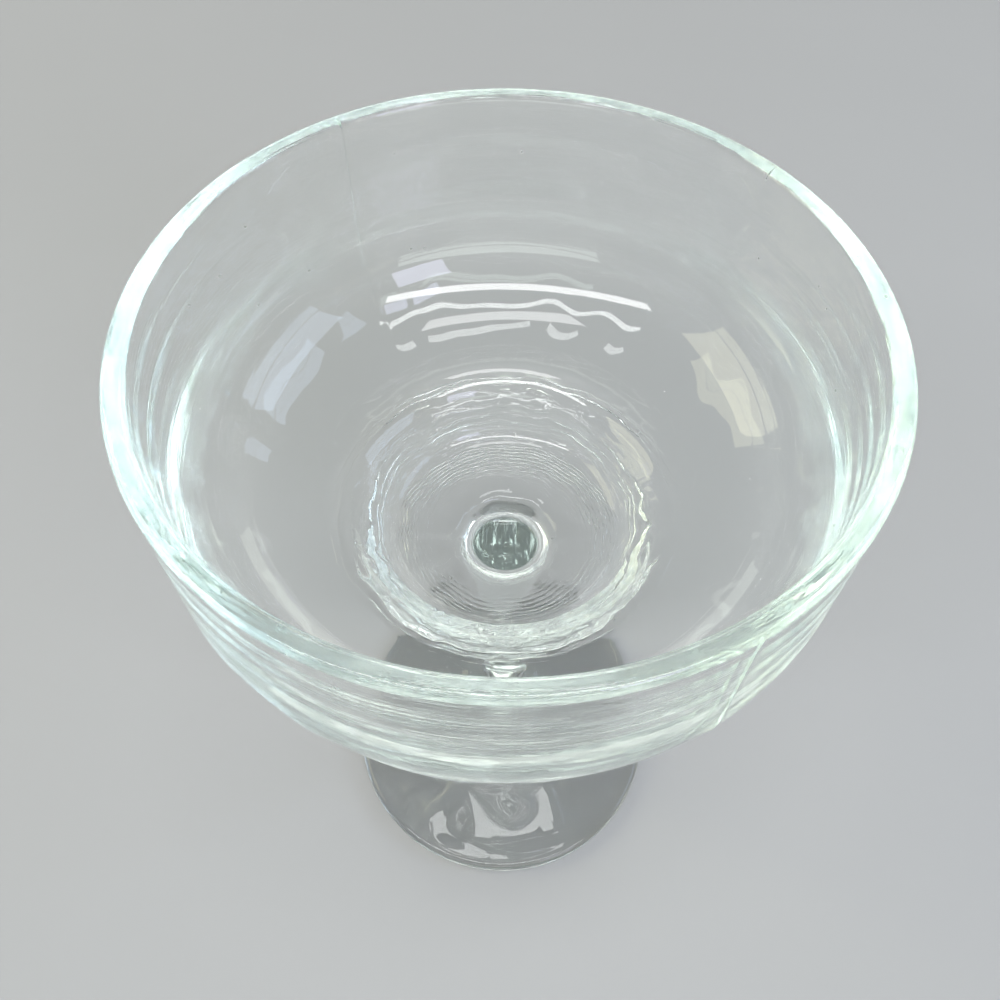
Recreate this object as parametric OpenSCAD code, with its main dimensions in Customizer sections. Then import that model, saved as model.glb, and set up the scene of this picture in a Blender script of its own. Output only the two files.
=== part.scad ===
// Margarita glass: a wide bowl with an upright band, a shallow well in its middle, a drawn stem and a round foot.
// Origin at the centre of the resting plane, +Z up through the stem. Millimetres.

/* [Glass] */
// Height from the resting plane to the top of the lip
glass_h = 156; // [130:1:180]
// Outer diameter of the upright band
rim_d = 111; // [96:1:130]

/* [Bowl] */
// Thickness of the upright band
band_wall = 3.4; // [2.4:0.1:4.4]
// Radius that rounds each edge of the lip
lip_r = 1.5; // [0.6:0.05:2]
// How much each side of the band narrows inside, from lip to saucer
band_draft = 0.7; // [0.2:0.1:2]
// Depth of the saucer floor below the lip, where it meets the well
saucer_depth = 41; // [34:0.5:46]
// How far the saucer floor falls from its outer edge to the well
saucer_fall = 1.1; // [0.4:0.1:4]
// Inside radius of the shoulder between band and saucer floor
shoulder_r = 22; // [10:0.5:26]
// Outside radius of the same shoulder
shoulder_out_r = 23.5; // [12:0.5:30]
// Glass under the saucer floor
saucer_wall = 7.5; // [4:0.1:9]

/* [Well] */
// Diameter of the well where its wall meets the saucer floor
well_mouth_d = 50; // [44:0.5:60]
// Diameter of the well where its wall meets its floor
well_floor_d = 42; // [34:0.5:48]
// Depth of the well's middle below the saucer floor
well_depth = 12.8; // [9:0.2:18]
// How far the well floor falls from its edge to its middle
well_dish = 0.8; // [0.2:0.1:2.5]
// Radius of the rounded lip where the saucer floor turns down into the well
well_lip_r = 9; // [4:0.25:12]
// Inside radius between the well's wall and floor
well_corner_r = 5; // [2:0.25:8]
// Thickness of the well's wall
well_wall = 3.6; // [2.8:0.1:5.5]
// Outside radius that blends the saucer's underside into the well
well_blend_r = 3.4; // [1.5:0.1:6]
// Outside radius at the bottom edge of the well
well_base_r = 6.5; // [3:0.25:10]
// Glass at the edge of the well's floor
floor_wall = 4.7; // [3.4:0.1:6]
// Glass under the middle of the well, down to the neck
base_wall = 4.6; // [4:0.1:7]

/* [Stem] */
// Diameter of the neck where the bowl is joined to the stem
neck_d = 11.8; // [9:0.2:16]
// Length of the neck below the bowl
neck_h = 6; // [4:0.25:9]
// Radius between the bowl's underside and the neck
neck_fillet_r = 5.5; // [3:0.25:9]
// Thinnest diameter of the stem
waist_d = 8.4; // [7:0.2:9]

/* [Foot] */
// Diameter of the foot
foot_d = 75; // [62:1:90]
// Thickness of the foot at its edge
edge_h = 3.2; // [2.4:0.1:4.6]
// Radius that rounds the foot's edge
edge_r = 1.4; // [0.6:0.05:2]
// Rise of the foot's top from its edge to the foot of the stem
foot_rise = 5; // [3:0.25:9]
// Diameter of the button where the foot is joined to the stem
button_d = 12; // [10:0.2:16]
// Length of the button above the foot's slope
button_h = 7; // [5:0.25:10]
// Radius between the foot's top and the button
foot_fillet_r = 8; // [4:0.25:11]
// Width of the flat ring that the glass rests on
rest_w = 4; // [2.5:0.25:6]
// Height of the arch under the foot, at its middle
arch_h = 1.8; // [0.8:0.1:2.6]

/* [Hidden] */

$fn = 180;
// Largest turn between two points of a rounded corner, in degrees
arc_step = 5;
// Points along each curve of the stem
curve_steps = 14;
// Clear glass, bluish at the rim and a little greener low down, where it is thick
bowl_colour = [0.82, 0.92, 0.93, 0.45];
stem_colour = [0.78, 0.90, 0.88, 0.55];
foot_colour = [0.80, 0.91, 0.90, 0.50];

// Stretches of the stem, from the top: taper down to the waist, straight waist, flare out to the foot
taper_share = 0.46;
flare_share = 0.34;

rim_r = rim_d / 2;
neck_r = neck_d / 2;
waist_r = waist_d / 2;
button_r = button_d / 2;
foot_r = foot_d / 2;
bowl_depth = saucer_depth + well_depth;
bowl_joint_z = glass_h - bowl_depth - base_wall - neck_h;
foot_joint_z = edge_h + foot_rise + button_h;
stem_h = bowl_joint_z - foot_joint_z;

// Unit vector along v
function unit(v) = v / norm(v);

// Half of the angle inside corner i of an outline
function half_angle(corners, i) =
    acos(unit(corners[i - 1] - corners[i]) * unit(corners[i + 1] - corners[i])) / 2;

// How far a rounding of the given radius reaches from corner i along its sides
function wanted_reach(corners, radii, i) =
    i <= 0 || i >= len(corners) - 1 || radii[i] == 0 ? 0 : radii[i] / tan(half_angle(corners, i));

// The part of the side from corner i to the next that the roundings at its two ends leave room for, at most 1
function room(corners, radii, i) =
    let (both = wanted_reach(corners, radii, i) + wanted_reach(corners, radii, i + 1))
    both == 0 ? 1 : min(1, norm(corners[i + 1] - corners[i]) / both);

// Points of the arc that rounds corner i
function corner_arc(corners, radii, i) =
    let (reach = wanted_reach(corners, radii, i) * min(room(corners, radii, i - 1), room(corners, radii, i)),
         half = half_angle(corners, i),
         before = unit(corners[i - 1] - corners[i]),
         after = unit(corners[i + 1] - corners[i]),
         radius = reach * tan(half),
         middle = corners[i] + unit(before + after) * radius / sin(half),
         start = corners[i] + before * reach - middle,
         side = sign(cross(before, after)),
         turn = -side * (180 - 2 * half),
         steps = max(2, ceil(abs(turn) / arc_step)))
    [for (k = [0:steps])
        let (a = turn * k / steps)
        middle + [start.x * cos(a) - start.y * sin(a), start.x * sin(a) + start.y * cos(a)]];

// An open outline through the corners, each rounded to its own radius, where 0 keeps it sharp
function rounded(corners, radii) =
    [for (i = [0:len(corners) - 1])
        each wanted_reach(corners, radii, i) == 0 ? [corners[i]] : corner_arc(corners, radii, i)];

// A smooth change of radius from r_a to r_b over the height z_a to z_b, upright at both ends
function smooth_run(r_a, r_b, z_a, z_b) =
    [for (k = [0:curve_steps])
        let (t = k / curve_steps)
        [r_a + (r_b - r_a) * (1 - cos(180 * t)) / 2, z_a + (z_b - z_a) * t]];

// A point of the bowl at radius r, given by its depth below the lip
function at_depth(r, depth) = [r, glass_h - depth];

// Inside of the bowl and then its outside, from the middle of the well over the lip to the neck
bowl_corners = [
    at_depth(0, bowl_depth),
    at_depth(well_floor_d / 2, bowl_depth - well_dish),
    at_depth(well_mouth_d / 2, saucer_depth),
    at_depth(rim_r - band_wall - band_draft, saucer_depth - saucer_fall),
    at_depth(rim_r - band_wall, 0),
    at_depth(rim_r, 0),
    at_depth(rim_r, saucer_depth - saucer_fall + saucer_wall),
    at_depth(well_mouth_d / 2 + well_wall, saucer_depth + saucer_wall),
    at_depth(well_floor_d / 2 + well_wall, bowl_depth - well_dish + floor_wall),
    at_depth(neck_r, bowl_depth + base_wall),
    at_depth(neck_r, bowl_depth + base_wall + neck_h),
    at_depth(0, bowl_depth + base_wall + neck_h),
];
bowl_radii = [
    0,
    well_corner_r,
    well_lip_r,
    shoulder_r,
    lip_r,
    lip_r,
    shoulder_out_r,
    well_blend_r,
    well_base_r,
    neck_fillet_r,
    0,
    0,
];

// From the middle of the arch under the foot, round its edge and up to the button
foot_corners = [
    [0, arch_h],
    [foot_r - edge_r - rest_w, 0],
    [foot_r, 0],
    [foot_r, edge_h],
    [button_r, edge_h + foot_rise],
    [button_r, foot_joint_z],
    [0, foot_joint_z],
];
foot_radii = [0, 0, edge_r, edge_r, foot_fillet_r, 0, 0];

module bowl() {
    color(bowl_colour)
        rotate_extrude()
            polygon(rounded(bowl_corners, bowl_radii));
}

// Solid drawn stem, joined over its whole end faces to the bowl's neck and the foot's button
module stem() {
    taper_z = bowl_joint_z - stem_h * taper_share;
    flare_z = foot_joint_z + stem_h * flare_share;
    color(stem_colour)
        rotate_extrude()
            polygon(concat(
                [[0, bowl_joint_z]],
                smooth_run(neck_r, waist_r, bowl_joint_z, taper_z),
                smooth_run(waist_r, button_r, flare_z, foot_joint_z),
                [[0, foot_joint_z]]));
}

module foot() {
    color(foot_colour)
        rotate_extrude()
            polygon(rounded(foot_corners, foot_radii));
}

bowl();
stem();
foot();
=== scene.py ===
"""Margarita glass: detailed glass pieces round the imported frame, and the studio that shows them.

Metres, +Z up through the stem, origin at the centre of the resting plane.
"""

from collections import namedtuple
import math

import bpy
from bpy.props import FloatProperty, FloatVectorProperty, IntProperty, PointerProperty
from mathutils import Euler, Matrix, Vector, noise


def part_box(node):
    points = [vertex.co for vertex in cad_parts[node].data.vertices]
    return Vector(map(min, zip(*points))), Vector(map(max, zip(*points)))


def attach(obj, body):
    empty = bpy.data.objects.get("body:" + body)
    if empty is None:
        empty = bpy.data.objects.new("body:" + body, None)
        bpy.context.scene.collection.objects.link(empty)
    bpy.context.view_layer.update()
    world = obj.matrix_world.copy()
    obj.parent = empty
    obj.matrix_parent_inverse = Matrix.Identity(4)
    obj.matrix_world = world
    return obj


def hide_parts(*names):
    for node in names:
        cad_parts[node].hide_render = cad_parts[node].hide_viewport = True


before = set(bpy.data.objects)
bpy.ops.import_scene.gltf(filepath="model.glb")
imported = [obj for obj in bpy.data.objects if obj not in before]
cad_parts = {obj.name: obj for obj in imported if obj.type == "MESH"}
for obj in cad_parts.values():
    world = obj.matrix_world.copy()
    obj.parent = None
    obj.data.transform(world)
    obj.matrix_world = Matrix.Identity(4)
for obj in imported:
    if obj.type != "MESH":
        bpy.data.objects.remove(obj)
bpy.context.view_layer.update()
RIM_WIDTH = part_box("bowl")[1].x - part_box("bowl")[0].x
GLASS_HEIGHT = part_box("bowl")[1].z
FOOT_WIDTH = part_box("foot")[1].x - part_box("foot")[0].x

bl_info = {
    "name": "Margarita Glass",
    "version": (1, 0, 0),
    "blender": (4, 5, 0),
    "location": "3D View > Sidebar > Glass",
    "description": "Builds a pressed and fire-polished margarita glass with its studio",
    "category": "Object",
}

BODY = "root"

# Spacing of the rings of vertices: plain glass, the rippled well, the lip and the foot
PLAIN_STEP = 0.0010
FINE_STEP = 0.00042
LIP_STEP = 0.0003
FOOT_STEP = 0.0008
# The lip's rings reach down by this many of its radii
LIP_RINGS_REACH = 3
# Share of the well floor's radius beyond which its underside has the finer rings
FINE_RINGS_SHARE = 0.6
STEM_SEGMENTS = 96
FOOT_SEGMENTS = 240
# Turn between two points of a rounded corner, in degrees, and the fewest steps in one
ARC_STEP = 1.5
LEAST_ARC_STEPS = 3
# Points nearer to the axis than this count as on it
NO_RADIUS = 1e-7
# Fused pieces run into each other by this much, so that light passes from one to the next
JOINT_LAP = 0.000001
# Stretches of the stem: taper down to the waist and flare out to the foot
TAPER_SHARE = 0.46
FLARE_SHARE = 0.34
CURVE_STEPS = 60
# Softens the edge between the foot's arch and the ring that it rests on
ARCH_EDGE_R = 0.003

# A swell is smooth noise on a round surface: how fast it changes round the glass, how fast it
# changes along the surface, per metre, and where in the noise it starts
Swell = namedtuple("Swell", "around along seed")
# Steepens a swell before it becomes a wave
WAVE_GAIN = 1.6

# The polished inside of the bowl. Spans are depths below the lip or distances from the axis
# between which a wave comes in or fades.
INNER_SWELL = Swell(1.4, 45, 3.1)
LIP_CALM = (0.0, 0.006)
LIP_SWELL_SHARE = 0.25
WELL_MIDDLE = (0.002, 0.012)
# The crease in the well's corner, and how it wanders: distance and swell
CREASE_HALF_WIDTH = 0.0011
CREASE_SHARE = 0.9
CREASE_DRIFTS = ((0.0006, Swell(14, 0, 8.0)), (0.0004, Swell(38, 0, 5.0)))

# Streaks on the moulded outside: share of the mould wave and swell. The third is on the band.
BROAD_STREAK = (0.25, Swell(5.2, 105, 11.7))
LONG_STREAK = (0.20, Swell(2.2, 170, 2.9))
BAND_STREAK = (0.45, Swell(3.0, 300, 6.1))
BAND_END = (0.026, 0.036)
# Slow waves under the shoulder and under the well
SHOULDER_SWELL = Swell(6.4, 85, 21.3)
SHOULDER_START = (0.025, 0.032)
SHOULDER_END = (0.045, 0.050)
WELL_WAVES_PER_METRE = 210
WELL_WAVES_SEED = 14.2
WELL_START = (0.0495, 0.0525)
NECK_EDGE = (0.007, 0.011)
# Heights above the joint between which the neck's waves come in
NECK_CALM = (0.0, 0.006)
# Ring ripples round the well, and how they drift: radians and swell
RING_SPACING = 0.0021
RING_DRIFTS = ((4.6, Swell(7, 0, 6.6)), (3.0, Swell(24, 0, 1.2)))
RINGS_START = (0.0435, 0.049)
RINGS_INNER = (0.011, 0.017)
RINGS_OUTER = (0.030, 0.034)
# Where the two halves of the mould met, in degrees round the glass, and the seams' shape
SEAM_ANGLES = (121, 301)
SEAM_HALF_WIDTH = 0.00045
SEAM_START = (0.0, 0.0015)
SEAM_END = (0.036, 0.046)
# Rows of vertices on each side of a seam's middle, and the share of the usual spacing that
# stays free between them and the even rows
SEAM_POINTS = 3
SEAM_GAP_SHARE = 1 / 3

# The stem's and the foot's swells, and the distances over which their ends grow calm
STEM_SWELL = Swell(1.8, 28, 4.4)
STEM_CALM = (0, 0.008)
FOOT_SWELL = Swell(2.6, 60, 9.2)
FOOT_CALM = (0, 0.006)
FOOT_MIDDLE = (0.001, 0.008)
FOOT_WAVES_PER_METRE = 100
# Distances in from the foot's edge between which the waves on its top come in
FOOT_EDGE_IN = (0.006, 0.002)

# Glass: its own colour and what is on it. A noise is how fast it changes, per metre, and its
# detail. A range holds the values of the noise where the mark begins and where it is full.
GLASS_COLOUR = (0.985, 0.995, 0.99, 1)
SMUDGE_NOISE = (55, 4)
SMUDGE_RANGE = (0.56, 0.80)
FILM_NOISE = (1400, 2)
FILM_RANGE = (0.40, 0.75)
# Dust: a speck's radius is a share of its cell, and only the cells in patches hold one
DUST_CELLS_PER_METRE = 210
DUST_SPECK_SHARE = 0.045
DUST_PATCH_NOISE = (130, 1)
DUST_PATCH_LEVEL = 0.56
# Relief is in millimetres
MILLIMETRE = 0.001
FINE_GRAIN_NOISE = (260, 3)
FINE_GRAIN_RELIEF = 0.006
BROAD_GRAIN_NOISE = (60, 1)
BROAD_GRAIN_RELIEF = 0.02

# Fine rings moulded round the well, and the heights and distances from the axis, in metres,
# between which they come in
RIPPLES_PER_METRE = 7600
RIPPLE_WOBBLE_NOISE = (120, 1.5)
RIPPLE_WOBBLE = 11.0
RIPPLE_RELIEF = 0.10
UNDER_WELL_HEIGHT = (0.1020, 0.1010)
UNDER_WELL_RADIUS = (0.012, 0.017)
BESIDE_WELL_RADIUS = (0.0240, 0.0250)
BESIDE_WELL_HEIGHT = (0.1125, 0.1095)
RIPPLED_RADIUS = (0.0320, 0.0290)
# Drawn lines on the lip and the outside of the band: how fast they change round and across
LINES_ROUND = 55
LINES_ACROSS = 1500
LINE_NOISE = (1.0, 2)
LINE_RELIEF = 0.045
LIP_LINE_RELIEF = 0.05
LIP_HEIGHT = (0.1530, 0.1545)
BAND_RADIUS = (0.0540, 0.0548)

# Floor, and the distances from the glass between which it runs into the horizon's colour
FLOOR_HALF = 8.0
FLOOR_FADE = (0.25, 1.4)
FLOOR_MOTTLE_NOISE = (9, 4)
FLOOR_DARKER = 0.97
FLOOR_LIGHTER = 1.02
FLOOR_ROUGHNESS = 0.85
FLOOR_SHINE = 0.2
# The part of the sky, by its slope, in which the horizon's colour turns into the zenith's
SKY_RISE = (0.10, 0.75)
# Thick glass passes light on many times from wall to wall
LIGHT_BOUNCES = 32

# A lamp's place, the point that it faces, its size, its colour, the setting that gives its
# radiance and its share of that
Lamp = namedtuple("Lamp", "name place target size tint light share", defaults=[1])
BOWL_CENTRE = (0, 0, 0.12)
WHITE = (1, 1, 1)
LAMPS = (
    Lamp("strip_lamp", (-0.12, -0.66, 1.13), (-0.12, 0, 0.12), (1.9, 0.13), WHITE, "strip_light"),
    Lamp("ceiling_lamp", (0.02, -0.12, 1.60), BOWL_CENTRE, (0.70, 0.22), WHITE, "ceiling_light"),
    Lamp("window_light", (1.1, -1.7, 1.35), BOWL_CENTRE, (0.7, 0.6), (0.76, 0.76, 1.0),
         "window_light"),
    Lamp("left_panel", (-1.5, 0.2, 0.9), BOWL_CENTRE, (1.1, 0.9), (1.0, 0.97, 0.66),
         "side_light"),
    Lamp("right_panel", (1.5, 0.0, 0.8), BOWL_CENTRE, (1.1, 0.8), (0.64, 0.78, 1.0),
         "side_light"),
    Lamp("front_panel", (0.1, -1.6, 0.66), BOWL_CENTRE, (2.2, 0.32), (0.9, 1.0, 0.92),
         "side_light"),
    Lamp("back_panel", (0.1, 1.8, 0.60), BOWL_CENTRE, (2.4, 0.5), (0.94, 1.0, 0.88),
         "side_light", 0.6),
)

# The camera that fits the photograph's rim and foot: angles in degrees, lens in millimetres
CAMERA_PLACE = (-0.001045, -0.094254, 0.252290)
CAMERA_DOWN = 56.15
CAMERA_ROLL = 0.5
CAMERA_LENS = 34.56
CAMERA_SENSOR = 36
CAMERA_NEAR = 0.01


def length(name, millimetres, text):
    """A length that a user may change, kept in metres."""
    return FloatProperty(name=name, description=text, default=millimetres / 1000, min=0,
                         precision=5, unit="LENGTH", subtype="DISTANCE")


def share(name, value, text):
    """A share that a user may change."""
    return FloatProperty(name=name, description=text, default=value, min=0, max=1, precision=4)


def colour(name, value, text):
    """A colour that a user may change."""
    return FloatVectorProperty(name=name, description=text, default=value, size=3, min=0, max=1,
                               subtype="COLOR")


class GlassSizes(bpy.types.PropertyGroup):
    """Sizes of the solids, the same as in the frame."""
    glass_h: FloatProperty(name="Height", description="From the resting plane to the lip",
                           default=GLASS_HEIGHT, unit="LENGTH", subtype="DISTANCE")
    rim_d: FloatProperty(name="Rim diameter", description="Outer diameter of the upright band",
                         default=RIM_WIDTH, unit="LENGTH", subtype="DISTANCE")
    foot_d: FloatProperty(name="Foot diameter", description="Outer diameter of the foot",
                          default=FOOT_WIDTH, unit="LENGTH", subtype="DISTANCE")
    band_wall: length("Band wall", 3.4, "Thickness of the upright band")
    lip_r: length("Lip radius", 1.5, "Radius that rounds each edge of the lip")
    band_draft: length("Band draft", 0.7, "How much the inside of the band narrows")
    saucer_depth: length("Saucer depth", 41, "Depth of the saucer floor below the lip")
    saucer_fall: length("Saucer fall", 1.1, "Fall of the saucer floor towards the well")
    shoulder_r: length("Shoulder radius", 22, "Inside radius between band and saucer")
    shoulder_out_r: length("Outer shoulder radius", 23.5, "Outside radius of the shoulder")
    saucer_wall: length("Saucer wall", 7.5, "Glass under the saucer floor")
    well_mouth_d: length("Well mouth", 50, "Diameter of the well at the saucer floor")
    well_floor_d: length("Well floor", 42, "Diameter of the well at its floor")
    well_depth: length("Well depth", 12.8, "Depth of the well below the saucer floor")
    well_dish: length("Well dish", 0.8, "Fall of the well floor to its middle")
    well_lip_r: length("Well lip radius", 9, "Radius of the well's rounded lip")
    well_corner_r: length("Well corner radius", 5, "Inside radius at the well's floor")
    well_wall: length("Well wall", 3.6, "Thickness of the well's wall")
    well_blend_r: length("Well blend radius", 3.4, "Outside radius under the saucer")
    well_base_r: length("Well base radius", 6.5, "Outside radius at the well's floor")
    floor_wall: length("Well floor wall", 4.7, "Glass at the edge of the well's floor")
    base_wall: length("Base wall", 4.6, "Glass under the middle of the well")
    neck_d: length("Neck diameter", 11.8, "Diameter where bowl and stem join")
    neck_h: length("Neck length", 6, "Length of the neck below the bowl")
    neck_fillet_r: length("Neck fillet", 5.5, "Radius between bowl and neck")
    waist_d: length("Waist diameter", 8.4, "Thinnest diameter of the stem")
    edge_h: length("Foot edge", 3.2, "Thickness of the foot at its edge")
    edge_r: length("Foot edge radius", 1.4, "Radius that rounds the foot's edge")
    foot_rise: length("Foot rise", 5, "Rise of the foot's top towards the stem")
    button_d: length("Button diameter", 12, "Diameter where foot and stem join")
    button_h: length("Button length", 7, "Length of the button above the foot's slope")
    foot_fillet_r: length("Foot fillet", 8, "Radius between the foot's top and the button")
    rest_w: length("Rest width", 4, "Width of the flat ring that the glass rests on")
    arch_h: length("Foot arch", 1.8, "Height of the arch under the foot")


class GlassFinish(bpy.types.PropertyGroup):
    """How the glass looks and how uneven its surfaces are."""
    tint: colour("Tint", (0.82, 0.925, 0.89), "Colour that thick glass takes on")
    tint_density: FloatProperty(name="Tint density", description="Absorption for each metre",
                                default=11, min=0)
    index: FloatProperty(name="Index of refraction", description="1.52 is soda-lime glass",
                         default=1.52, min=1, max=2)
    smudge_roughness: share("Smudge roughness", 0.10, "Roughness of the hazy smudges")
    speck_roughness: share("Speck roughness", 0.5, "Roughness of the dust specks")
    mould_wave: length("Mould wave", 0.30, "Depth of the streaks on the moulded outside")
    shoulder_wave: length("Shoulder wave", 0.36, "Height of the slow waves under the shoulder")
    well_wave: length("Well wave", 0.35, "Height of the slow waves under the well")
    foot_wave: length("Foot wave", 0.42, "Height of the slow waves on the foot's top")
    inner_wave: length("Inner wave", 0.03, "Depth of the swell on the polished inside")
    chill_wave: length("Chill wave", 0.035, "Depth of the ripples round the well")
    seam_h: length("Mould seam", 0.12, "Height of the two mould seams")
    segments: IntProperty(name="Segments", description="Faces round the glass", default=288,
                          min=48, max=720)


class StudioLook(bpy.types.PropertyGroup):
    """Floor, background and lamps."""
    floor_colour: colour("Floor", (0.45, 0.455, 0.46), "Colour of the plain floor")
    horizon_colour: colour("Horizon", (0.55, 0.555, 0.56), "Colour of the world at the horizon")
    zenith_colour: colour("Zenith", (0.24, 0.24, 0.245), "Colour of the world overhead")
    strip_light: FloatProperty(name="Strip lamp", description="Radiance of the strip lamp",
                               default=11.5, min=0)
    ceiling_light: FloatProperty(name="Ceiling lamp", description="Radiance of the lamp above",
                                 default=6.5, min=0)
    window_light: FloatProperty(name="Window", description="Radiance of the window light",
                                default=6, min=0)
    side_light: FloatProperty(name="Low panels", description="Radiance of the low panels",
                              default=3.0, min=0)


def settings():
    """The sizes and the finish that the panel shows."""
    return bpy.context.scene.margarita_sizes, bpy.context.scene.margarita_finish


# Outlines


def reach_of(corners, radii, i):
    """How far a rounding reaches from corner i along its sides."""
    if i <= 0 or i >= len(corners) - 1 or radii[i] == 0:
        return 0.0
    return radii[i] / math.tan(half_angle(corners, i))


def half_angle(corners, i):
    """Half of the angle inside corner i."""
    before = (corners[i - 1] - corners[i]).normalized()
    after = (corners[i + 1] - corners[i]).normalized()
    return math.acos(max(-1.0, min(1.0, before.dot(after)))) / 2


def room_after(corners, radii, i):
    """Share of the wanted roundings that the side after corner i leaves room for."""
    both = reach_of(corners, radii, i) + reach_of(corners, radii, i + 1)
    return 1.0 if both == 0 else min(1.0, (corners[i + 1] - corners[i]).length / both)


def rounded(points, radii):
    """The outline through the corners, each rounded to its own radius."""
    corners = [Vector(p) for p in points]
    path = []
    for i, corner in enumerate(corners):
        reach = reach_of(corners, radii, i)
        if reach == 0:
            path.append(corner)
            continue
        reach *= min(room_after(corners, radii, i - 1), room_after(corners, radii, i))
        half = half_angle(corners, i)
        before = (corners[i - 1] - corner).normalized()
        after = (corners[i + 1] - corner).normalized()
        radius = reach * math.tan(half)
        middle = corner + (before + after).normalized() * radius / math.sin(half)
        start = corner + before * reach - middle
        turn = -math.copysign(math.pi - 2 * half, before.x * after.y - before.y * after.x)
        steps = max(LEAST_ARC_STEPS, math.ceil(abs(math.degrees(turn)) / ARC_STEP))
        for k in range(steps + 1):
            a = turn * k / steps
            path.append(middle + Vector((start.x * math.cos(a) - start.y * math.sin(a),
                                         start.x * math.sin(a) + start.y * math.cos(a))))
    return path


def walked_along(path):
    """Distance along the outline at each of its points."""
    walked = [0.0]
    for before, here in zip(path, path[1:]):
        walked.append(walked[-1] + (here - before).length)
    return walked


def resampled(path, step_at):
    """The outline with its points spaced by step_at(r, z)."""
    walked = walked_along(path)
    total = walked[-1]
    marks = [0.0]
    i = 0
    while marks[-1] < total:
        while i < len(path) - 2 and walked[i + 1] < marks[-1]:
            i += 1
        marks.append(marks[-1] + step_at(path[i].x, path[i].y))
    scale = total / marks[-1]
    out = [path[0]]
    i = 0
    for mark in marks[1:]:
        along = min(total, mark * scale)
        while i < len(path) - 2 and walked[i + 1] < along:
            i += 1
        span = walked[i + 1] - walked[i]
        t = 0 if span == 0 else (along - walked[i]) / span
        out.append(path[i].lerp(path[i + 1], min(1.0, t)))
    return out


def smooth_run(r_a, r_b, z_a, z_b):
    """A smooth change of radius over a height, upright at both ends."""
    return [Vector((r_a + (r_b - r_a) * (1 - math.cos(math.pi * k / CURVE_STEPS)) / 2,
                    z_a + (z_b - z_a) * k / CURVE_STEPS)) for k in range(CURVE_STEPS + 1)]


# Waves


def smooth_step(low, high, value):
    """0 at low and 1 at high, with a smooth rise between them."""
    t = max(0.0, min(1.0, (value - low) / (high - low)))
    return t * t * (3 - 2 * t)


def bump_at(centre, width, value):
    """A round bump of height 1 at the centre, gone one width away."""
    t = abs(value - centre) / width
    return 0.0 if t >= 1 else (1 + math.cos(math.pi * t)) / 2


def swell(kind, angle, distance=0.0):
    """The height of a swell at an angle round the glass and a distance along its surface."""
    return noise.noise(Vector((kind.around * math.cos(angle) + kind.seed,
                               kind.around * math.sin(angle), distance * kind.along)))


def drift(drifts, angle):
    """How far something that runs round the glass wanders at an angle."""
    return sum(reach * swell(kind, angle) for reach, kind in drifts)


def sunken(depth, value):
    """A wave that only ever takes glass away, so that the piece stays in its solid's box."""
    return -depth * (1 - max(-1.0, min(1.0, WAVE_GAIN * value))) / 2


def apart(angle, other):
    """The angle between two directions round the glass."""
    return abs((angle - other + math.pi) % (2 * math.pi) - math.pi)


# Meshes


def angles_round(count, seams=(), narrow=0.0):
    """Angles round the glass: even ones, and a few close ones that carry each mould seam."""
    step = 2 * math.pi / count
    found = [2 * math.pi * j / count for j in range(count)]
    clear = narrow * SEAM_POINTS + step * SEAM_GAP_SHARE
    for seam in seams:
        found = [a for a in found if apart(a, seam) > clear]
        found += [(seam + narrow * k) % (2 * math.pi)
                  for k in range(-SEAM_POINTS, SEAM_POINTS + 1)]
    return sorted(found)


def turned(name, path, angles, offset_at, material, joints):
    """A closed mesh turned round Z from an outline that runs from axis to axis.

    offset_at(angle, k) moves point k out along its normal. joints are the points where a flat
    fused end face begins, which keep a sharp edge.
    """
    verts, rings = [], []
    for k, point in enumerate(path):
        if point.x < NO_RADIUS:
            rings.append([len(verts)])
            verts.append((0, 0, point.y))
            continue
        along = (path[k + 1] - path[k - 1]).normalized()
        out = Vector((-along.y, along.x))
        ring = []
        for angle in angles:
            shift = out * offset_at(angle, k)
            r, z = point.x + shift.x, point.y + shift.y
            ring.append(len(verts))
            verts.append((r * math.cos(angle), r * math.sin(angle), z))
        rings.append(ring)
    faces = []
    count = len(angles)
    for here, there in zip(rings, rings[1:]):
        for j in range(count):
            n = (j + 1) % count
            if len(here) == 1:
                faces.append((here[0], there[j], there[n]))
            elif len(there) == 1:
                faces.append((here[j], there[0], here[n]))
            else:
                faces.append((here[j], there[j], there[n], here[n]))
    mesh = bpy.data.meshes.new(name)
    mesh.from_pydata(verts, [], faces)
    mesh.materials.append(material)
    mesh.polygons.foreach_set("use_smooth", [True] * len(faces))
    mesh.update(calc_edges=True)
    sharp = {vert for k in joints for vert in rings[k]}
    for edge in mesh.edges:
        edge.use_edge_sharp = sharp.issuperset(edge.vertices)
    piece = bpy.data.objects.new(name, mesh)
    bpy.context.scene.collection.objects.link(piece)
    return piece


# Shader maths


class Link:
    """A number that varies over a surface. Maths on it adds the Math nodes that work it out."""

    def __init__(self, shader, socket):
        self.shader = shader
        self.socket = socket

    def _maths(self, operation, *values, clamp=False):
        return self.shader.node("ShaderNodeMath", {"operation": operation, "use_clamp": clamp},
                                dict(enumerate(values)))

    def __add__(self, other):
        return self._maths("ADD", self, other)

    def __mul__(self, other):
        return self._maths("MULTIPLY", self, other)

    def __sub__(self, other):
        return self._maths("SUBTRACT", self, other)

    def __rsub__(self, other):
        return self._maths("SUBTRACT", other, self)

    __radd__ = __add__
    __rmul__ = __mul__

    def sine(self):
        return self._maths("SINE", self)

    def below(self, limit):
        return self._maths("LESS_THAN", self, limit)

    def above(self, limit):
        return self._maths("GREATER_THAN", self, limit)

    def between(self, low, high):
        """0 at low and 1 at high, and straight between them."""
        return self._maths("MULTIPLY", self - low, 1 / (high - low), clamp=True)


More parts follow.
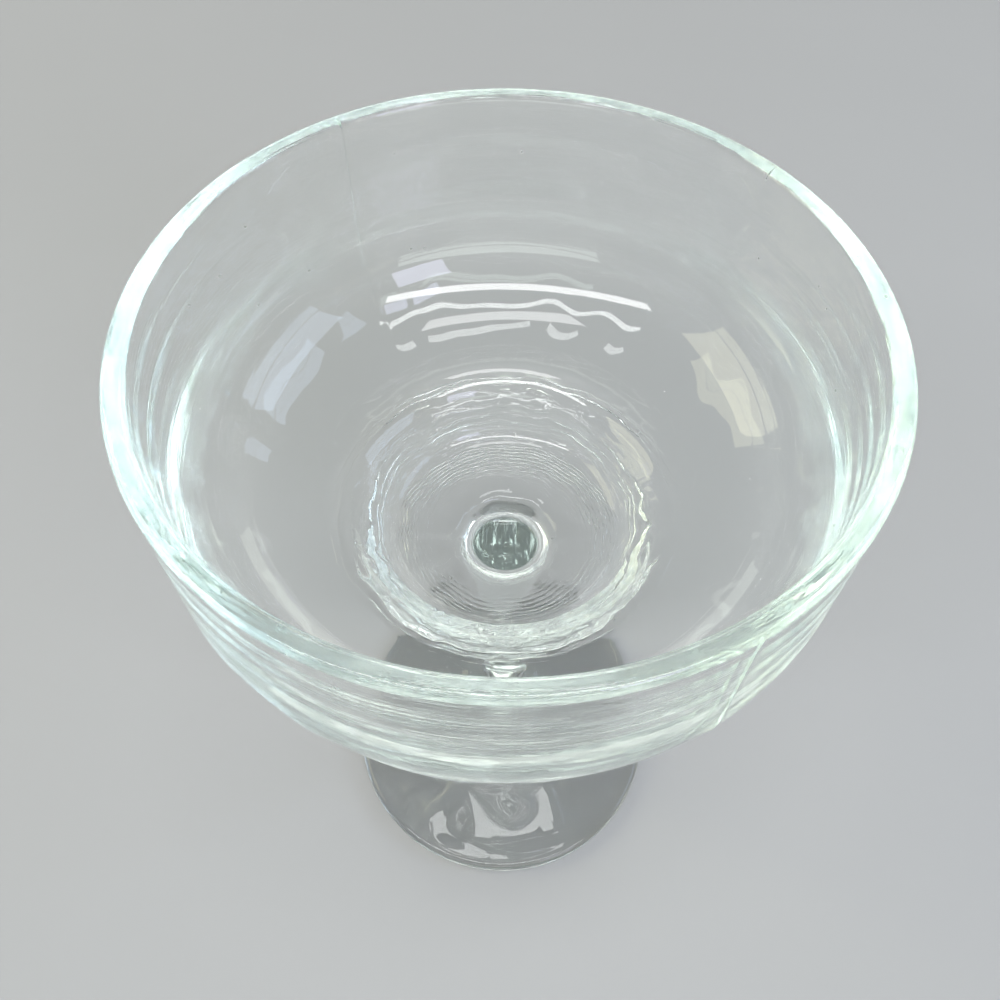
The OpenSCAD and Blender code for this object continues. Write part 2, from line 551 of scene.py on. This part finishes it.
class Shader:
    """A material's or the world's nodes."""

    def __init__(self, owner):
        owner.use_nodes = True
        self.tree = owner.node_tree
        self.tree.nodes.clear()

    def node(self, kind, choices=None, values=None, out=0):
        """Adds a node, sets its choices first, then its sockets by values or links."""
        made = self.tree.nodes.new(kind)
        for name, value in (choices or {}).items():
            setattr(made, name, value)
        for name, value in (values or {}).items():
            if isinstance(value, Link):
                self.tree.links.new(value.socket, made.inputs[name])
            else:
                made.inputs[name].default_value = value
        return Link(self, made.outputs[out]) if made.outputs else None

    def place(self, out="Object"):
        return self.node("ShaderNodeTexCoord", out=out)

    def height(self, place):
        """The height of a place."""
        return self.node("ShaderNodeSeparateXYZ", {}, {0: place}, out="Z")

    def distance(self, place):
        """The distance of a place from the origin."""
        return self.node("ShaderNodeVectorMath", {"operation": "LENGTH"}, {0: place},
                         out="Value")

    def stretched(self, place, scale):
        return self.node("ShaderNodeVectorMath", {"operation": "MULTIPLY"},
                         {0: place, 1: scale})

    def upright(self, height):
        return self.node("ShaderNodeCombineXYZ", {}, {"Z": height})

    def noise(self, place, scale, detail):
        return self.node("ShaderNodeTexNoise", {}, {"Vector": place, "Scale": scale,
                                                    "Detail": detail})

    def mix(self, factor, first, second):
        """A mix of two colours. They are the Mix node's sockets 6 and 7, and come out of its 2."""
        return self.node("ShaderNodeMix", {"data_type": "RGBA"},
                         {0: factor, 6: first, 7: second}, out=2)


def clear_glass(name, finish, marks=None):
    """Clear soda-lime glass with hazy smudges, dust specks and the faint grain of a mould.

    marks(shader, place) adds its own height to the grain, in millimetres.
    """
    material = bpy.data.materials.new(name)
    shader = Shader(material)
    place = shader.place()
    smudge = shader.noise(place, *SMUDGE_NOISE).between(*SMUDGE_RANGE)
    film = shader.noise(place, *FILM_NOISE).between(*FILM_RANGE)
    cell = shader.node("ShaderNodeTexVoronoi", {}, {"Vector": place,
                                                    "Scale": DUST_CELLS_PER_METRE})
    dusty = shader.noise(place, *DUST_PATCH_NOISE).above(DUST_PATCH_LEVEL)
    speck = cell.below(DUST_SPECK_SHARE) * dusty
    roughness = smudge * film * finish.smudge_roughness + speck * finish.speck_roughness
    grain = (shader.noise(place, *FINE_GRAIN_NOISE) * FINE_GRAIN_RELIEF
             + shader.noise(place, *BROAD_GRAIN_NOISE) * BROAD_GRAIN_RELIEF)
    if marks:
        grain = grain + marks(shader, place)
    normal = shader.node("ShaderNodeBump", {}, {"Strength": 1.0, "Distance": MILLIMETRE,
                                                "Height": grain})
    surface = shader.node("ShaderNodeBsdfPrincipled", {}, {
        "Base Color": GLASS_COLOUR, "Transmission Weight": 1.0,
        "IOR": finish.index, "Roughness": roughness, "Normal": normal})
    inside = shader.node("ShaderNodeVolumeAbsorption", {},
                         {"Color": (*finish.tint, 1), "Density": finish.tint_density})
    shader.node("ShaderNodeOutputMaterial", {}, {"Surface": surface, "Volume": inside})
    return material


def either(first, second):
    """The two masks together."""
    return 1 - (1 - first) * (1 - second)


def bowl_marks(shader, place):
    """Fine rings round the well, and drawn lines on the lip and the moulded band."""
    height = shader.height(place)
    flat = shader.stretched(place, (1, 1, 0))
    radius = shader.distance(flat)
    wobble = shader.noise(flat, *RIPPLE_WOBBLE_NOISE) * RIPPLE_WOBBLE
    across = radius - height
    rise = (across * RIPPLES_PER_METRE + wobble).sine() * 0.5 + 0.5
    rings = rise * rise * rise
    under = height.between(*UNDER_WELL_HEIGHT) * radius.between(*UNDER_WELL_RADIUS)
    beside = radius.between(*BESIDE_WELL_RADIUS) * height.between(*BESIDE_WELL_HEIGHT)
    ringed = either(under, beside) * radius.between(*RIPPLED_RADIUS)
    pulled = shader.node("ShaderNodeVectorMath", {"operation": "MULTIPLY_ADD"}, {
        0: flat, 1: (LINES_ROUND, LINES_ROUND, 0),
        2: shader.upright((radius + height) * LINES_ACROSS)})
    lines = shader.noise(pulled, *LINE_NOISE)
    lip = height.between(*LIP_HEIGHT)
    band = radius.between(*BAND_RADIUS)
    return (rings * ringed * RIPPLE_RELIEF + lines * either(lip, band) * LINE_RELIEF
            + lines * lip * LIP_LINE_RELIEF)


# Pieces


def place_piece(piece, node):
    """Hangs a piece on the body that it rides on, and hides the frame's solid that it takes the
    place of.
    """
    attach(piece, BODY)
    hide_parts(node)


def bowl_outline(size):
    """The bowl's outline, from the middle of the well over the lip to the edge of the neck."""
    rim_r = size.rim_d / 2
    mouth_r = size.well_mouth_d / 2
    floor_r = size.well_floor_d / 2
    neck_r = size.neck_d / 2
    bowl_depth = size.saucer_depth + size.well_depth
    low_edge = size.saucer_depth - size.saucer_fall
    floor_edge = bowl_depth - size.well_dish
    corners = [
        (0, bowl_depth, 0),
        (floor_r, floor_edge, size.well_corner_r),
        (mouth_r, size.saucer_depth, size.well_lip_r),
        (rim_r - size.band_wall - size.band_draft, low_edge, size.shoulder_r),
        (rim_r - size.band_wall, 0, size.lip_r),
        (rim_r, 0, size.lip_r),
        (rim_r, low_edge + size.saucer_wall, size.shoulder_out_r),
        (mouth_r + size.well_wall, size.saucer_depth + size.saucer_wall, size.well_blend_r),
        (floor_r + size.well_wall, floor_edge + size.floor_wall, size.well_base_r),
        (neck_r, bowl_depth + size.base_wall, size.neck_fillet_r),
        (neck_r, bowl_depth + size.base_wall + size.neck_h + JOINT_LAP, 0),
    ]
    return rounded([(r, size.glass_h - depth) for r, depth, _ in corners],
                   [radius for _, _, radius in corners])


class GLASS_OT_bowl(bpy.types.Operator):
    """Build the bowl: upright band, round shoulder, saucer floor, well and neck"""
    bl_idname = "margarita.bowl"
    bl_label = "Build Bowl"

    def execute(self, context):
        size, finish = settings()
        floor_r = size.well_floor_d / 2
        lip_rings_z = size.glass_h - LIP_RINGS_REACH * size.lip_r
        fine_rings_z = size.glass_h - size.saucer_depth - size.saucer_wall / 2

        def step_at(r, z):
            if z > lip_rings_z:
                return LIP_STEP
            fine = z < fine_rings_z and r > FINE_RINGS_SHARE * floor_r
            return FINE_STEP if fine else PLAIN_STEP

        path = resampled(bowl_outline(size), step_at)
        lip_k = max(range(len(path)), key=lambda k: path[k].y)
        joint_k = len(path) - 1
        joint_z = path[joint_k].y
        path.append(Vector((0, joint_z)))
        walked = walked_along(path)
        corner_r = floor_r - size.well_corner_r / 2
        crease_at = next(walked[k] for k in range(lip_k) if path[k].x > corner_r)
        seams = [math.radians(a) for a in SEAM_ANGLES]

        def inside_offset(angle, k):
            """The polished inside: a faint swell, and the crease in the well's corner."""
            r, depth = path[k].x, size.glass_h - path[k].y
            calm = LIP_SWELL_SHARE + (1 - LIP_SWELL_SHARE) * smooth_step(*LIP_CALM, depth)
            wave = sunken(finish.inner_wave, swell(INNER_SWELL, angle, depth))
            crease = bump_at(crease_at + drift(CREASE_DRIFTS, angle), CREASE_HALF_WIDTH, walked[k])
            return (wave * calm * smooth_step(*WELL_MIDDLE, r)
                    + CREASE_SHARE * finish.chill_wave * crease)

        def streaks(angle, depth):
            """Streaks that the mould left, all the way down and more of them on the band."""
            band = 1 - smooth_step(*BAND_END, depth)
            streak = (BROAD_STREAK[0] * swell(BROAD_STREAK[1], angle, depth)
                      + LONG_STREAK[0] * swell(LONG_STREAK[1], angle, depth)
                      + BAND_STREAK[0] * band * swell(BAND_STREAK[1], angle, depth))
            return sunken(finish.mould_wave, streak) * smooth_step(*LIP_CALM, depth)

        def slow_waves(angle, r, depth):
            """Slow waves under the shoulder and under the well."""
            under = smooth_step(*SHOULDER_START, depth) * (1 - smooth_step(*SHOULDER_END, depth))
            below = smooth_step(*WELL_START, depth) * smooth_step(*NECK_EDGE, r)
            lumps = Swell(r * WELL_WAVES_PER_METRE, WELL_WAVES_PER_METRE, WELL_WAVES_SEED)
            return (finish.shoulder_wave * under * swell(SHOULDER_SWELL, angle, depth)
                    + finish.well_wave * below * swell(lumps, angle, depth))

        def seam_relief(angle, r, depth):
            """The seams stand up to the solid's surface, and the glass beside them lies lower."""
            ridge = max(bump_at(0, SEAM_HALF_WIDTH, apart(angle, seam) * r) for seam in seams)
            ridge *= 1 - smooth_step(*SEAM_END, depth)
            return finish.seam_h * (ridge - 1) * smooth_step(*SEAM_START, depth)

        def ripples(angle, r, depth, along):
            """Ring ripples round the well, where the glass chilled."""
            ring = math.sin(2 * math.pi * along / RING_SPACING + drift(RING_DRIFTS, angle))
            mask = (smooth_step(*RINGS_START, depth) * smooth_step(*RINGS_INNER, r)
                    * (1 - smooth_step(*RINGS_OUTER, r)))
            return finish.chill_wave * ring * mask

        def offset_at(angle, k):
            if k >= joint_k:
                return 0.0
            if k <= lip_k:
                return inside_offset(angle, k)
            r, z = path[k]
            depth = size.glass_h - z
            marks = (streaks(angle, depth) + seam_relief(angle, r, depth)
                     + ripples(angle, r, depth, walked[k]))
            return marks * smooth_step(*NECK_CALM, z - joint_z) + slow_waves(angle, r, depth)

        narrow = SEAM_HALF_WIDTH / SEAM_POINTS / (size.rim_d / 2)
        angles = angles_round(finish.segments, seams, narrow)
        piece = turned("bowl_glass", path, angles, offset_at,
                       clear_glass("bowl_glass", finish, bowl_marks), [joint_k])
        place_piece(piece, "bowl")
        return {"FINISHED"}


class GLASS_OT_stem(bpy.types.Operator):
    """Build the solid drawn stem between the bowl's neck and the foot's button"""
    bl_idname = "margarita.stem"
    bl_label = "Build Stem"

    def execute(self, context):
        size, finish = settings()
        top = (size.glass_h - size.saucer_depth - size.well_depth - size.base_wall
               - size.neck_h)
        bottom = size.edge_h + size.foot_rise + size.button_h
        tall = top - bottom
        run = (smooth_run(size.neck_d / 2, size.waist_d / 2, top, top - tall * TAPER_SHARE)
               + smooth_run(size.waist_d / 2, size.button_d / 2, bottom + tall * FLARE_SHARE,
                            bottom))
        side = resampled(run, lambda r, z: PLAIN_STEP)
        path = [Vector((0, top)), *side, Vector((0, bottom))]
        top_k, bottom_k = 1, len(path) - 2

        def offset_at(angle, k):
            if k <= top_k or k >= bottom_k:
                return 0.0
            z = path[k].y
            calm = smooth_step(*STEM_CALM, min(top - z, z - bottom))
            return sunken(finish.inner_wave, swell(STEM_SWELL, angle, z)) * calm

        piece = turned("stem_glass", path, angles_round(STEM_SEGMENTS), offset_at,
                       clear_glass("stem_glass", finish), [top_k, bottom_k])
        place_piece(piece, "stem")
        return {"FINISHED"}


class GLASS_OT_foot(bpy.types.Operator):
    """Build the round foot: button, sloping top, rounded edge and the arch underneath"""
    bl_idname = "margarita.foot"
    bl_label = "Build Foot"

    def execute(self, context):
        size, finish = settings()
        foot_r = size.foot_d / 2
        button_r = size.button_d / 2
        joint_z = size.edge_h + size.foot_rise + size.button_h + JOINT_LAP
        corners = [(button_r, joint_z), (button_r, size.edge_h + size.foot_rise),
                   (foot_r, size.edge_h), (foot_r, 0), (foot_r - size.edge_r - size.rest_w, 0),
                   (0, size.arch_h)]
        radii = [0, size.foot_fillet_r, size.edge_r, size.edge_r, ARCH_EDGE_R, 0]
        path = [Vector((0, joint_z)),
                *resampled(rounded(corners, radii), lambda r, z: FOOT_STEP)]
        walked = walked_along(path)
        joint_k = 1
        edge_span = [foot_r - inwards for inwards in FOOT_EDGE_IN]

        def offset_at(angle, k):
            if k <= joint_k:
                return 0.0
            r, z = path[k].x, path[k].y
            calm = smooth_step(*FOOT_CALM, joint_z - z) * smooth_step(*FOOT_MIDDLE, r)
            top = smooth_step(size.edge_h / 2, size.edge_h, z) * (1 - smooth_step(*edge_span, r))
            spot = Vector((r * math.cos(angle), r * math.sin(angle), z))
            slow = finish.foot_wave * top * noise.noise(spot * FOOT_WAVES_PER_METRE)
            even = sunken(finish.inner_wave, swell(FOOT_SWELL, angle, walked[k]))
            return (slow + even) * calm

        piece = turned("foot_glass", path, angles_round(FOOT_SEGMENTS), offset_at,
                       clear_glass("foot_glass", finish), [joint_k])
        place_piece(piece, "foot")
        return {"FINISHED"}


# Studio


def pale_floor(look):
    """A plain matt floor that runs into the colour of the horizon far from the glass."""
    material = bpy.data.materials.new("pale_floor")
    shader = Shader(material)
    place = shader.place()
    away = shader.distance(place)
    mottle = shader.noise(place, *FLOOR_MOTTLE_NOISE)
    darker = (*[c * FLOOR_DARKER for c in look.floor_colour], 1)
    lighter = (*[min(1, c * FLOOR_LIGHTER) for c in look.floor_colour], 1)
    surface = shader.node("ShaderNodeBsdfPrincipled", {}, {
        "Base Color": shader.mix(mottle, darker, lighter), "Roughness": FLOOR_ROUGHNESS,
        "Specular IOR Level": FLOOR_SHINE})
    far = shader.node("ShaderNodeEmission", {}, {"Color": (*look.horizon_colour, 1)})
    shown = shader.node("ShaderNodeMixShader", {}, {0: away.between(*FLOOR_FADE), 1: surface,
                                                    2: far})
    shader.node("ShaderNodeOutputMaterial", {}, {"Surface": shown})
    return material


def add_floor(look):
    """The floor that the glass stands on. It isn't part of the glass."""
    half = FLOOR_HALF
    mesh = bpy.data.meshes.new("floor")
    mesh.from_pydata([(-half, -half, 0), (half, -half, 0), (half, half, 0), (-half, half, 0)],
                     [], [(0, 1, 2, 3)])
    mesh.materials.append(pale_floor(look))
    floor = bpy.data.objects.new("floor", mesh)
    bpy.context.scene.collection.objects.link(floor)


def add_lamp(lamp, look):
    """A flat lamp with the same radiance whatever its size, which the camera doesn't see."""
    width, height = lamp.size
    data = bpy.data.lights.new(lamp.name, "AREA")
    data.shape = "RECTANGLE"
    data.size, data.size_y = width, height
    data.energy = getattr(look, lamp.light) * lamp.share * math.pi * width * height
    data.color = lamp.tint
    made = bpy.data.objects.new(lamp.name, data)
    made.location = lamp.place
    way = Vector(lamp.target) - Vector(lamp.place)
    made.rotation_euler = way.to_track_quat("-Z", "Y").to_euler()
    made.visible_camera = False
    bpy.context.scene.collection.objects.link(made)


def add_world(look):
    """An even sky, paler at the horizon."""
    world = bpy.data.worlds.new("studio")
    bpy.context.scene.world = world
    shader = Shader(world)
    rise = shader.height(shader.place("Generated")).between(*SKY_RISE)
    shade = shader.mix(rise, (*look.horizon_colour, 1), (*look.zenith_colour, 1))
    background = shader.node("ShaderNodeBackground", {}, {"Color": shade, "Strength": 1.0})
    shader.node("ShaderNodeOutputWorld", {}, {"Surface": background})


def add_camera():
    """The camera that looks down into the bowl from the front."""
    lens = bpy.data.cameras.new("camera")
    lens.lens, lens.sensor_width, lens.sensor_fit = CAMERA_LENS, CAMERA_SENSOR, "HORIZONTAL"
    lens.clip_start = CAMERA_NEAR
    camera = bpy.data.objects.new("camera", lens)
    bpy.context.scene.collection.objects.link(camera)
    tilt = Euler((math.pi / 2 - math.radians(CAMERA_DOWN), 0, 0)).to_matrix().to_4x4()
    roll = Matrix.Rotation(math.radians(CAMERA_ROLL), 4, "Z")
    camera.matrix_world = Matrix.Translation(CAMERA_PLACE) @ tilt @ roll
    bpy.context.scene.camera = camera


class GLASS_OT_studio(bpy.types.Operator):
    """Set up the pale floor, the soft lamps, the world and the camera"""
    bl_idname = "margarita.studio"
    bl_label = "Set Up Studio"

    def execute(self, context):
        scene = context.scene
        look = scene.margarita_studio
        add_floor(look)
        for lamp in LAMPS:
            add_lamp(lamp, look)
        add_world(look)
        add_camera()
        scene.view_settings.view_transform = "Standard"
        scene.cycles.max_bounces = LIGHT_BOUNCES
        scene.cycles.transmission_bounces = LIGHT_BOUNCES
        scene.cycles.glossy_bounces = LIGHT_BOUNCES
        return {"FINISHED"}


class GLASS_PT_panel(bpy.types.Panel):
    """The glass's sizes and finish, and buttons that build it"""
    bl_label = "Margarita Glass"
    bl_idname = "GLASS_PT_panel"
    bl_space_type = "VIEW_3D"
    bl_region_type = "UI"
    bl_category = "Glass"

    def draw(self, context):
        layout = self.layout
        for operator in (GLASS_OT_bowl, GLASS_OT_stem, GLASS_OT_foot, GLASS_OT_studio):
            layout.operator(operator.bl_idname)
        scene = context.scene
        for group in (scene.margarita_sizes, scene.margarita_finish, scene.margarita_studio):
            box = layout.box()
            for name in group.__annotations__:
                box.prop(group, name)


CLASSES = (GlassSizes, GlassFinish, StudioLook, GLASS_OT_bowl, GLASS_OT_stem, GLASS_OT_foot,
           GLASS_OT_studio, GLASS_PT_panel)


def register():
    for cls in CLASSES:
        bpy.utils.register_class(cls)
    bpy.types.Scene.margarita_sizes = PointerProperty(type=GlassSizes)
    bpy.types.Scene.margarita_finish = PointerProperty(type=GlassFinish)
    bpy.types.Scene.margarita_studio = PointerProperty(type=StudioLook)


def unregister():
    del bpy.types.Scene.margarita_sizes
    del bpy.types.Scene.margarita_finish
    del bpy.types.Scene.margarita_studio
    for cls in reversed(CLASSES):
        bpy.utils.unregister_class(cls)


def main():
    register()
    bpy.ops.margarita.studio()
    bpy.ops.margarita.bowl()
    bpy.ops.margarita.stem()
    bpy.ops.margarita.foot()


if __name__ == "__main__":
    main()
